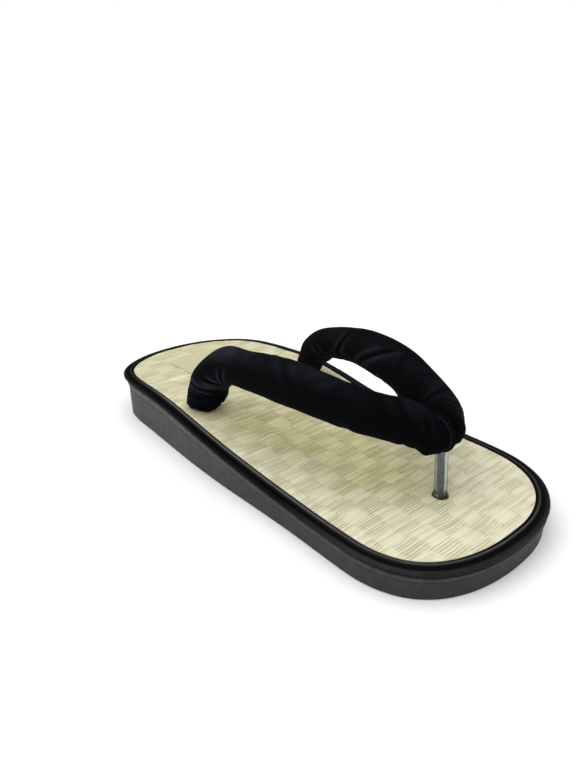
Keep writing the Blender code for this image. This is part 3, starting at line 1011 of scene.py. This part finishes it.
velvet = {
    "seeds": {"lateral": 5, "medial": 12},
    "sides": 96,
    "stations": 320,
    "footRings": 10,
    "footRound": 0.0075,
    "footLeast": 0.60,
    "footEnd": 0.2,  # share of the run under which the foot rounds in
    "capRings": 14,
    "capRun": 0.05,  # the round end counts as this much more run
    "pleats": 11,
    "pleatDepth": 0.00030,
    "pleatHeight": 0.005,
    "gathers": 13,
    "gatherDepth": 0.00050,
    "gatherStart": 0.88,
    "ridge": (0.40, 1.8),  # of a crease: share of its depth, and how many widths away
    "seamHalfGap": 0.00010,
    "seamSoftness": 0.0009,
    "lump": 0.55,
    # painted sheen highlight on the crease crests
    "crestSheen": 0.75,
    "crestDepth": 0.0012,
    # painted sheen highlight along the seam fold's edges
    "foldSheen": 0.42,
    "fill": 0.85,
    "deep": (0.0004, 0.0004, 0.0007),
    "napAndSheen": (0.0011, 0.0013, 0.0022),
    "napScale": 85,
    # colour and gain of the painted sheen highlight
    "brushedAndSheen": (0.0195, 0.0215, 0.0300),
    "sheenGain": 1.7,
    "rumpleScale": 170,
    "rumpleBump": (0.45, 0.0012),
    "pileScale": 4200,
    "pileBump": (0.35, 0.00015),
    "roughness": 0.9,
    "specular": 0.05,
    "sheen": 0.014,
    "sheenRoughness": 0.30,
    "sheenTint": (0.50, 0.62, 1.0),
}

# The wadding's lumps: waves along the run, height
lumpWaves = ((5, 0.00024), (9, 0.00018), (17, 0.00009), (31, 0.00004))

# Creases, one by one. Run and angle of the middle; angular reach in degrees; how far
# the run slants over 90 degrees; width in run; depth in metres. Angle 0 faces the
# inner side of the foot, 90 the top of the strap or the heel, 270 its underside
# or the toe.
creases = {
    "lateral": (
        (0.128, 195, 62, 0.060, 0.010, 0.00150),
        (0.198, 228, 50, 0.030, 0.009, 0.00140),
        (0.262, 225, 58, -0.050, 0.009, 0.00125),
        (0.225, 285, 48, 0.000, 0.016, 0.00190),
        (0.060, 205, 70, 0.045, 0.010, 0.00060),
        (0.045, 300, 50, -0.030, 0.009, 0.00070),
        (0.345, 110, 45, 0.060, 0.015, 0.00035),
        (0.420, 100, 45, -0.050, 0.013, 0.00040),
        (0.520, 110, 60, 0.090, 0.016, 0.00045),
        (0.640, 100, 50, -0.080, 0.015, 0.00050),
        (0.720, 235, 50, 0.070, 0.014, 0.00050),
        (0.830, 100, 48, 0.070, 0.014, 0.00045),
        (0.870, 235, 45, -0.050, 0.012, 0.00045),
        (0.925, 130, 50, 0.060, 0.012, 0.00035),
    ),
    "medial": (
        (0.150, 285, 60, 0.030, 0.012, 0.00125),
        (0.205, 275, 55, -0.030, 0.011, 0.00110),
        (0.095, 240, 60, -0.030, 0.010, 0.00070),
        (0.250, 205, 50, 0.050, 0.010, 0.00085),
        (0.385, 165, 62, -0.055, 0.012, 0.00080),
        (0.345, 240, 40, 0.020, 0.012, 0.00045),
        (0.545, 170, 75, -0.120, 0.014, 0.00100),
        (0.590, 215, 40, 0.030, 0.014, 0.00040),
        (0.680, 120, 45, 0.060, 0.015, 0.00035),
        (0.770, 90, 50, -0.060, 0.014, 0.00040),
        (0.850, 110, 60, 0.040, 0.013, 0.00050),
        (0.915, 60, 60, -0.030, 0.010, 0.00070),
    ),
}

# Swellings: run and angle of the middle, angular reach, width in run, height
swells = {
    "lateral": (
        (0.085, 318, 95, 0.070, 0.0034),
        (0.015, 240, 95, 0.050, 0.0019),
        (0.150, 140, 95, 0.075, 0.0016),
        (0.270, 90, 70, 0.040, 0.0011),
        (0.480, 250, 90, 0.170, 0.0014),
        (0.500, 95, 90, 0.200, 0.0012),
        (0.960, 235, 70, 0.035, 0.0020),
        (0.840, 20, 90, 0.060, 0.0020),
    ),
    "medial": (
        (0.050, 135, 80, 0.070, -0.0010),
        (0.500, 85, 90, 0.160, 0.0020),
        (0.770, 205, 85, 0.075, 0.0024),
        (0.640, 60, 70, 0.080, 0.0010),
        (0.160, 300, 80, 0.060, 0.0012),
    ),
}


# Painted sheen highlight patches, the strongest on the lateral tube's knee top: run
# and angle of the middle, angular reach, width in run, strength
sheenPatches = {
    "lateral": (
        (0.270, 85, 80, 0.060, 1.00),
        (0.400, 100, 60, 0.090, 0.30),
        (0.610, 95, 55, 0.120, 0.20),
        (0.120, 160, 70, 0.050, 0.12),
        (0.900, 70, 60, 0.060, 0.25),
    ),
    "medial": (
        (0.300, 115, 75, 0.100, 0.14),
        (0.560, 125, 60, 0.120, 0.12),
        (0.800, 95, 60, 0.080, 0.10),
        (0.930, 60, 60, 0.050, 0.14),
    ),
}


def awayFrom(turn, angle, reach):
    # degrees round the tube from an angle, and what is left of a spot there
    away = (np.degrees(turn) - angle + 180) % 360 - 180
    return away, np.clip(1 - (away / reach) ** 2, 0, 1) ** 1.5


def creaseField(side, run, turn):
    # each crease is a soft trough with a low ridge on either hand, faded at both
    # ends; the second value is how much of a point is ridge, and sets the painted sheen
    # highlight on the crests, weakened in the troughs
    total = np.zeros(np.broadcast(run, turn).shape)
    crest = np.zeros_like(total)
    ridgeShare, ridgePlace = velvet["ridge"]
    for middle, angle, reach, slant, width, depth in creases[side]:
        away, fade = awayFrom(turn, angle, reach)
        distance = (run - middle - slant * away / 90) / width
        trough = np.exp(-distance ** 2)
        ridge = np.exp(-(np.abs(distance) - ridgePlace) ** 2)
        total += depth * fade * (ridgeShare * ridge - trough)
        crest += (depth / velvet["crestDepth"]) ** 2 * fade * (ridge - 0.5 * trough)
    return total, np.clip(crest, -0.3, 1)


def patchField(rows, run, turn):
    # broad round spots, such as bulges where the wadding is pushed out
    total = np.zeros(np.broadcast(run, turn).shape)
    for middle, angle, reach, width, height in rows:
        fade = awayFrom(turn, angle, reach)[1]
        total += height * fade * np.exp(-((run - middle) / width) ** 2)
    return total


def lumpField(run, turn, seed):
    # wadding: slow uneven swelling along and round the tube
    rng = np.random.default_rng(seed)
    total = np.zeros(np.broadcast(run, turn).shape)
    for waves, size in lumpWaves:
        for lobes in range(4):
            along, around = rng.uniform(0, 2 * np.pi, 2)
            total += size * np.sin(waves * run * np.pi + along) * np.cos(lobes * turn + around) / 2
    return total * velvet["lump"]


def strapLine(side, run):
    # centre and radius of one tube at shares of its run
    sign, out, up = strapSides[side]
    share = smoothTable(strapRun, 1, run)
    along = strap["anchorAlong"] + share * (post["along"] - strap["anchorAlong"])
    height = matTop(along) + smoothTable(strapRun, up, run) * strap["rise"]
    centre = spot(along, sign * smoothTable(strapRun, out, run) * strap["anchorOut"], height)
    return centre, smoothTable(strapRun, 6, run) * strap["radius"]


def footShare(height):
    # the foot rounds in to the mat: a quarter ellipse up to footRound over it
    rise = np.clip(height / velvet["footRound"], 0, 1)
    least = velvet["footLeast"]
    return least + (1 - least) * np.sqrt(1 - (1 - rise) ** 2)


def pleatField(turn, height):
    # small pleats where the velvet goes down into the mat, fading upwards
    wave = np.cos(velvet["pleats"] * turn + 0.8 * np.sin(2 * turn + 1))
    return velvet["pleatDepth"] * wave * np.exp(-(height / velvet["pleatHeight"]) ** 2)


def gatherField(run, turn):
    # lengthways gathers under the joined ends, drawn in to the post
    wave = np.cos(velvet["gathers"] * turn + 1.5 * np.sin(turn))
    start = velvet["gatherStart"]
    amount = np.clip(-np.sin(turn), 0, 1) * np.clip((run - start) / (1 - start), 0, 1)
    return velvet["gatherDepth"] * wave * amount


def strapChange(side, seed, run, turn):
    # all the fabric does to the plain round tube
    return (creaseField(side, run, turn)[0] + patchField(swells[side], run, turn)
            + lumpField(run, turn, seed) + gatherField(run, turn))


def tubeRings(side, seed):
    # rings square to the centreline, then a round end over the last of them
    size = velvet
    turn = circleOf(size["sides"])[0]
    run = np.linspace(0, 1, size["stations"])
    centre, radius = strapLine(side, run)
    tangent = np.gradient(centre, axis=0)
    tangent[0] = (0, 0, 1)
    tangent = unit(tangent)
    cap = np.sin(np.pi / 2 * np.arange(1, size["capRings"]) / size["capRings"])
    full = radius[-1]
    centre = np.concatenate((centre, centre[-1] + tangent[-1] * cap[:, None]
                             * full * strap["endRound"]))
    radius = np.concatenate((radius, full * np.sqrt(1 - cap ** 2)))
    across, upward = squareTo(np.concatenate((tangent, np.repeat(tangent[-1:], len(cap), 0))))
    run = np.concatenate((run, 1 + cap * size["capRun"]))[:, None]
    height = (centre[:, 2] - matTop(alongOf(centre)) - sandal["clearance"])[:, None]
    fullness = np.clip(radius / full, 0, 1)[:, None]
    change = strapChange(side, seed, run, turn[None]) * np.where(run > 1, fullness, 1)
    wide = (radius[:, None] + change) * footShare(np.where(run < size["footEnd"], height, 1))
    wide = (wide + pleatField(turn[None], height))[..., None]
    spread = across[:, None] * np.cos(turn)[None, :, None]
    spread = spread + upward[:, None] * np.sin(turn)[None, :, None]
    # painted sheen highlight: the listed patches and the crease crests
    napAndSheen = patchField(sheenPatches[side], run, turn[None])
    napAndSheen = napAndSheen + size["crestSheen"] * creaseField(side, run, turn[None])[1]
    return centre[:, None] + spread * wide, np.clip(napAndSheen, 0, 1)


def footRings(side, seed):
    # the tail in the sole, then the stretch that stands just over the mat
    size = velvet
    up = strapSides[side][2]
    startHeight = strapRun[0, up] * strap["rise"] - sandal["clearance"]
    turn, circle = circleOf(size["sides"])
    mouth = matTop(strap["anchorAlong"]) + sandal["clearance"]
    rings = [anchorSpot(side, height) + circle * strap["tailRadius"]
             for height in (tailFloor(), mouth)]
    full = strapRun[0, 6] * strap["radius"] + strapChange(side, seed, np.zeros(1), turn)
    for share in np.linspace(0, 1, size["footRings"], endpoint=False):
        height = share * startHeight
        wide = full * footShare(height) + pleatField(turn, height)
        ring = anchorSpot(side, 0) + circle * wide[:, None]
        ring[:, 2] = matTop(alongOf(ring)) + sandal["clearance"] + height
        rings.append(ring)
    return np.array(rings)


def pressAtSeam(points, side):
    # the two tubes press flat on each other where they are sewn: a point that would
    # pass the seam's plane is held back, softly
    plane = post["out"] - shiftOut
    sign = strapSides[side][0]
    distance = (points[..., 0] - plane) * sign - velvet["seamHalfGap"]
    soft = velvet["seamSoftness"]
    held = soft * np.logaddexp(0, distance / soft)
    points[..., 0] = plane + sign * (held + velvet["seamHalfGap"])
    return points


def makeVelvetMaterial():
    # black pile, lighter in random patches, with a painted sheen highlight on the knee top,
    # crease crests and the fold's edges
    material, tree, shader = newMaterial("blackVelvet")
    place = objectCoordinates(tree)
    brushedAndSheen = noise(place, velvet["napScale"])
    colour = mixColours(brushedAndSheen, velvet["deep"], velvet["napAndSheen"])
    # painted sheen highlight, patchy with the pile noise
    streaky = times(attribute(tree, "napAndSheen"), times(brushedAndSheen, velvet["sheenGain"]))
    colour = mixColours(streaky, colour, velvet["brushedAndSheen"])
    normal = bump(noise(place, velvet["rumpleScale"]), velvet["rumpleBump"])
    normal = bump(noise(place, velvet["pileScale"], 2), velvet["pileBump"], normal)
    feed(shader, {"Base Color": colour, "Roughness": velvet["roughness"],
                  "Specular IOR Level": velvet["specular"], "Sheen Weight": velvet["sheen"],
                  "Sheen Roughness": velvet["sheenRoughness"],
                  "Sheen Tint": velvet["sheenTint"], "Normal": normal})
    return material


# Folded edge of velvet over the seam, as its middle line lies on the joined ends:
# distance along, distance from the seam's plane, height over the mat
seamFold = {
    "line": np.array((
        (0.2050, -0.0072, 0.0380), (0.2095, -0.0064, 0.0402), (0.2128, -0.0063, 0.0412),
        (0.2158, -0.0056, 0.0417), (0.2200, -0.0056, 0.0416), (0.2248, -0.0047, 0.0408),
        (0.2292, -0.0040, 0.0388), (0.2320, -0.0035, 0.0352), (0.2330, -0.0034, 0.0312),
        (0.2322, -0.0034, 0.0272), (0.2296, -0.0034, 0.0240),
    )),
    "width": 0.0014,
    "thickness": 0.0013,
    "fullFrom": 3,  # how soon it is full, and what is left at its tips
    "tip": 0.02,
    "ripples": ((0.10, 31, 0), (0.06, 57, 1)),
    "stations": 110,
    "sides": 20,
}


def openCurve(points, count):
    # a smooth open curve through given points, by its length
    points = np.asarray(points, float)
    steps = np.linalg.norm(np.diff(points, axis=0), axis=1)
    length = np.concatenate(([0], np.cumsum(steps)))
    place = np.linspace(0, length[-1], count)
    columns = [smoothTable(np.column_stack((length, points[:, k])), 1, place)
               for k in range(points.shape[1])]
    return np.stack(columns, -1)


def foldRings():
    # a flat oval carried along the fold's line, tapered at both ends
    size = seamFold
    line = openCurve(size["line"], size["stations"])
    centre = spot(line[:, 0], post["out"] + line[:, 1], matTop(line[:, 0]) + line[:, 2])
    across, upward = squareTo(np.gradient(centre, axis=0))
    share = np.linspace(0, 1, size["stations"])
    taper = np.sqrt(np.clip(np.sin(np.pi * share) * size["fullFrom"], size["tip"], 1))
    ripple = 1 + sum(amount * np.sin(share * waves + start)
                     for amount, waves, start in size["ripples"])
    turn = circleOf(size["sides"])[0]
    wide = (size["width"] * taper * ripple)[:, None, None] * np.cos(turn)[None, :, None]
    thick = (size["thickness"] * taper)[:, None, None] * np.sin(turn)[None, :, None]
    return centre[:, None] + across[:, None] * wide + upward[:, None] * thick


def buildStrap():
    # both tubes and the fold over their seam, as one piece
    points, faces, napAndSheenParts, parts, start = [], [], [], [], 0
    for side, seed in velvet["seeds"].items():
        foot = footRings(side, seed)
        tube, napAndSheen = tubeRings(side, seed)
        napAndSheen = np.concatenate((np.zeros(foot.shape[:2]), napAndSheen))
        parts.append((pressAtSeam(np.concatenate((foot, tube)), side), napAndSheen))
    fold = foldRings()
    # painted sheen highlight along the fold's two edges
    edge = np.abs(np.cos(circleOf(seamFold["sides"])[0])) ** 6
    parts.append((fold, np.repeat(velvet["foldSheen"] * edge[None], len(fold), 0)))
    for rings, napAndSheen in parts:
        rows, sides = rings.shape[:2]
        points += [rings.reshape(-1, 3), rings[-1].mean(0)[None]]
        napAndSheenParts += [napAndSheen.ravel(), napAndSheen[-1, :1]]
        faces += (gridFaces(rows, sides, closeColumns=True) + start).tolist()
        faces.append(list(range(start + sides - 1, start - 1, -1)))
        last = start + (rows - 1) * sides
        j = np.arange(sides)
        pole = np.full(sides, start + rows * sides)
        faces += np.stack((last + j, last + (j + 1) % sides, pole), -1).tolist()
        start += rows * sides + 1
    piece = makeMesh("velvetStrap", np.concatenate(points), faces, makeVelvetMaterial(),
                     values={"napAndSheen": np.concatenate(napAndSheenParts)})
    return settle(piece, "velvet", "strap_upper")


velvetStrap = buildStrap()
print("strap done")


# Toe post

def postTop():
    # the post ends inside the joined front of the strap
    middle = matTop(post["along"]) + strapRun[-1, 4] * strap["rise"]
    return middle - strapRun[-1, 6] * strap["radius"] + post["intoStrap"]


def makeTubeMaterial():
    material, tree, shader = newMaterial("clearTube")
    ripple = noise(objectCoordinates(tree), post["rippleScale"], 2)
    feed(shader, {"Base Color": post["tint"], "Roughness": post["tubeRoughness"],
                  "IOR": post["tubeIor"], "Transmission Weight": 1.0,
                  "Normal": bump(ripple, post["rippleBump"])})
    return material


def makeCordMaterial():
    # grey blue cord with a painted shade line and beside it a painted highlight that run its
    # length
    material, tree, shader = newMaterial("postCord")
    turn = axesOf(surfaceCoordinates(tree))[0]
    fibres = streaks(objectCoordinates(tree), post["cordStretch"], post["cordCoarse"])
    colour = ramp(fibres, ((0.3, post["cordDark"]), (0.7, post["cordPale"])))
    # painted highlight, then a painted shade line
    colour = mixColours(greyRamp(turn, post["highlightTurns"]), colour, post["cordHighlight"])
    colour = mixColours(greyRamp(turn, post["shadeLineTurns"]), colour, post["cordShadeLine"])
    feed(shader, {"Base Color": colour, "Roughness": post["cordRoughness"],
                  "Normal": bump(fibres, post["cordBump"])})
    return material


def buildTube(low, high):
    # the clear tube, turned from rows of height and radius, with its flared foot
    ground = matTop(post["along"])
    slim, wide, sides = post["radius"], post["flareRadius"], post["sides"]
    rows = [(low, wide), (ground - post["flareSunk"], wide)]
    rows += [(ground + share * post["flareHeight"], wide + (slim - wide) * smoothStep(share))
             for share in np.linspace(0, 1, post["flareRows"])]
    rows += [(high, slim), (high, post["bore"]), (low, post["bore"])]
    circle = circleOf(sides)[1]
    rings = np.array([postAxis(height) + circle * radius for height, radius in rows])
    faces = gridFaces(len(rings), sides, closeRows=True, closeColumns=True).tolist()
    tube = makeMesh("clearPostTube", rings, faces, makeTubeMaterial())
    tube.data.set_sharp_from_angle(angle=math.radians(sandal["sharpFrom"]))
    return settle(tube, "clear_tube", "toe_post_tube")


def buildCord(low, high):
    # the cord inside the tube: its strands are a shallow wave that twists upwards
    heights, sides = np.linspace(low, high, post["cordStations"]), post["cordSides"]
    turn, circle = circleOf(sides)
    twist = np.cos(post["strands"] * turn + heights[:, None] * post["twist"])
    wide = post["cordRadius"] + post["cordProud"] + post["strandDepth"] * twist
    middle = np.array([postAxis(height) for height in heights]) + np.array(post["cordAside"])
    rings = middle[:, None] + circle * wide[..., None]
    faces = gridFaces(len(heights), sides, closeColumns=True).tolist()
    faces += capFaces(len(heights), sides)
    mapping = gridMap(heights, np.arange(sides + 1) / sides)[:, ::-1]
    cord = makeMesh("postCord", rings, faces, makeCordMaterial(), mapping)
    return settle(cord, "post_cord", "toe_post_cord")


postSpan = (post["socketFloor"] + sandal["clearance"], float(postTop()))
buildTube(*postSpan)
buildCord(*postSpan)
print("toe post done")


# Label

def makeLabelMaterial():
    material, tree, shader = newMaterial("creamLabel")
    paper = noise(objectCoordinates(tree), label["paperScale"])
    shade = times(paper, label["shadeShare"])
    feed(shader, {"Base Color": mixColours(shade, label["colour"], label["shade"]),
                  "Roughness": label["roughness"], "Normal": bump(paper, label["paperBump"])})
    return material


def buildLabel():
    # a thin card with round corners; a slow sine lets it follow the weave under it
    corner = label["corner"]
    quarter = np.linspace(0, np.pi / 2, label["cornerSteps"])
    ring = []
    for number, (right, back) in enumerate(((1, 1), (-1, 1), (-1, -1), (1, -1))):
        angle = quarter + number * np.pi / 2
        x = right * (label["width"] / 2 - corner) + corner * np.cos(angle)
        y = back * (label["length"] / 2 - corner) + corner * np.sin(angle)
        ring.append(np.stack((x, y), -1))
    ring = np.concatenate(ring)
    middleY = sandal["length"] / 2 - label["start"] - label["length"] / 2
    low = sandal["heelHeight"] + sandal["clearance"]
    across, lengthways = label["reliefWaves"]
    rings = []
    for share in label["levels"]:
        x, y = (ring * share).T
        relief = label["relief"] * np.sin(x * across) * np.sin(y * lengthways)
        thickness = label["thickness"] * (label["edge"] if share == 1.0 else 1.0)
        rings.append(np.stack((x - shiftOut, y + middleY, low + thickness + relief), -1))
    bottom = rings[0].copy()
    bottom[:, 2] = low
    rings = np.array([bottom] + rings)
    columns = len(ring)
    faces = gridFaces(len(rings), columns, closeColumns=True).tolist()
    piece = makeMesh("bareLabel", rings, faces + capFaces(len(rings), columns),
                     makeLabelMaterial())
    piece.data.set_sharp_from_angle(angle=math.radians(sandal["sharpFrom"]))
    return settle(piece, "label", "heel_label")


buildLabel()
print("label done")


# Camera, light and floor

view = {
    "place": (-0.20198 - shiftOut, -0.21993, 0.16383),
    "heading": 41.015,  # degrees from +Y towards +X
    "tilt": 22.781,  # degrees down
    "lens": 27.88,
}

floorLook = {
    "half": 4.0,
    "under": 0.0003,  # the floor lies this far under the sole
    "colour": (0.84, 0.84, 0.84),
    "roughness": 0.9,
    "specular": 0.1,
}

light = {
    "background": 1.0,
    "ambient": 0.92,
    "inGloss": 0.15,
    "suns": (  # name, place, power, spread in degrees
        ("topLight", (-0.22, 0.12, 1.00), 1.20, 70),
        ("leftFill", (-1.00, 0.45, 0.26), 1.55, 55),
    ),
    "areas": (  # name, place, aim, size, power
        ("rightSoftbox", (0.75, -0.45, 0.35), (0.02, -0.09, 0.04), 0.30, 0.28),
    ),
}


def buildCamera():
    data = bpy.data.cameras.new("photoCamera")
    data.lens = view["lens"]
    data.clip_start = 0.01
    camera = bpy.data.objects.new("photoCamera", data)
    camera.location = view["place"]
    camera.rotation_euler = (math.radians(90 - view["tilt"]), 0, -math.radians(view["heading"]))
    bpy.context.collection.objects.link(camera)
    bpy.context.scene.camera = camera


def buildFloor():
    half, z = floorLook["half"], -floorLook["under"]
    mesh = bpy.data.meshes.new("floor")
    corners = [(-half, -half, z), (half, -half, z), (half, half, z), (-half, half, z)]
    mesh.from_pydata(corners, [], [(0, 1, 2, 3)])
    floor = bpy.data.objects.new("floor", mesh)
    bpy.context.collection.objects.link(floor)
    material, _, shader = newMaterial("paleFloor")
    feed(shader, {"Base Color": floorLook["colour"], "Roughness": floorLook["roughness"],
                  "Specular IOR Level": floorLook["specular"]})
    mesh.materials.append(material)


def buildWorld():
    # white to the camera, even light on matte surfaces and little in the gloss
    world = bpy.data.worlds.new("softStudio")
    world.use_nodes = True
    tree = world.node_tree
    rays = addNode(tree, "ShaderNodeLightPath").outputs
    mixGloss = addNode(tree, "ShaderNodeMix", data_type="FLOAT")
    mixCamera = addNode(tree, "ShaderNodeMix", data_type="FLOAT")
    feed(mixGloss, {0: rays["Is Glossy Ray"], 2: light["ambient"], 3: light["inGloss"]})
    feed(mixCamera, {0: rays["Is Camera Ray"], 2: mixGloss.outputs[0], 3: light["background"]})
    feed(tree.nodes["Background"], {0: (1, 1, 1), 1: mixCamera.outputs[0]})
    bpy.context.scene.world = world


def addLamp(name, kind, place, aim, power):
    data = bpy.data.lights.new(name, kind)
    data.energy = power
    lamp = bpy.data.objects.new(name, data)
    lamp.location = place
    direction = Vector(aim) - Vector(place)
    lamp.rotation_euler = direction.to_track_quat("-Z", "Y").to_euler()
    bpy.context.collection.objects.link(lamp)
    return data


def buildLights():
    buildWorld()
    for name, place, power, spread in light["suns"]:
        addLamp(name, "SUN", place, (0, 0, 0), power).angle = math.radians(spread)
    for name, place, aim, size, power in light["areas"]:
        addLamp(name, "AREA", place, aim, power).size = size
    bpy.context.scene.view_settings.view_transform = "Standard"


buildCamera()
buildFloor()
buildLights()
print("camera, floor and lights done")
